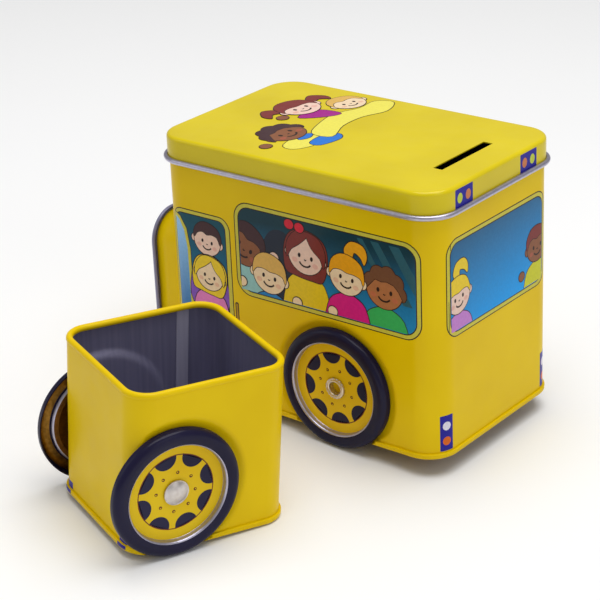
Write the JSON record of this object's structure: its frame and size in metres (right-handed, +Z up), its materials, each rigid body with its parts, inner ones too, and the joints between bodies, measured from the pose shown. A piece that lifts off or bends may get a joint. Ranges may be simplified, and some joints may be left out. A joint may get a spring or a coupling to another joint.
{
  "type": "tin money box",
  "caption": "School bus shaped tin money box with a slotted slip lid, rolling wheels, and a loose hood that is an open pencil cup.",
  "frame": {"origin": "middle of the bounding box on the floor under both tins", "axes": "+X along the bus towards its rear, +Y to the bus's right side, +Z up; the hood cup stands on the bus's left"},
  "size_m": [0.1452, 0.1988, 0.1118],
  "materials": {
    "yellow_tin": "gloss print and varnish on tinplate",
    "printed_wheel": "gloss print, navy tyre and yellow dish",
    "bare_rivet": "satin",
    "dark_tin": "satin"
  },
  "bodies": {
    "bus": {"bus_body": "yellow_tin", "bus_bottom": "yellow_tin", "front_pan": "yellow_tin", "rear_left_rivet": "bare_rivet", "rear_left_spacer": "dark_tin", "rear_left_washer": "dark_tin", "rear_right_rivet": "bare_rivet", "rear_right_spacer": "dark_tin", "rear_right_washer": "dark_tin"},
    "lid": {"lid": "yellow_tin"},
    "rear_left_wheel": {"rear_left_wheel": "printed_wheel"},
    "rear_right_wheel": {"rear_right_wheel": "printed_wheel"},
    "cup": {"cup_body": "yellow_tin", "cup_bottom": "yellow_tin", "front_left_rivet": "bare_rivet", "front_left_spacer": "dark_tin", "front_left_washer": "dark_tin", "front_right_rivet": "bare_rivet", "front_right_spacer": "dark_tin", "front_right_washer": "dark_tin"},
    "front_left_wheel": {"front_left_wheel": "printed_wheel"},
    "front_right_wheel": {"front_right_wheel": "printed_wheel"}
  },
  "joints": [
    {"name": "lid_lift", "type": "slide", "parent": "bus", "child": "lid", "axis": [-0.0544, 0, 0.9985], "range_m": [0, 0.05]},
    {"name": "rear_left_spin", "type": "hinge", "parent": "bus", "child": "rear_left_wheel", "pos_m": [0.02514, 0.01665, 0.0241], "axis": [0, 1, 0], "continuous": true},
    {"name": "rear_right_spin", "type": "hinge", "parent": "bus", "child": "rear_right_wheel", "pos_m": [0.02514, 0.09635, 0.0241], "axis": [0, 1, 0], "continuous": true},
    {"name": "cup_roll", "type": "slide", "parent": "bus", "child": "cup", "axis": [-0.3697, -0.9291, 0], "range_m": [0, 0.08]},
    {"name": "front_left_spin", "type": "hinge", "parent": "cup", "child": "front_left_wheel", "pos_m": [0.02699, -0.07692, 0.0241], "axis": [-0.9291, 0.3697, 0], "continuous": true},
    {"name": "front_right_spin", "type": "hinge", "parent": "cup", "child": "front_right_wheel", "pos_m": [-0.02838, -0.05488, 0.0241], "axis": [-0.9291, 0.3697, 0], "continuous": true}
  ]
}
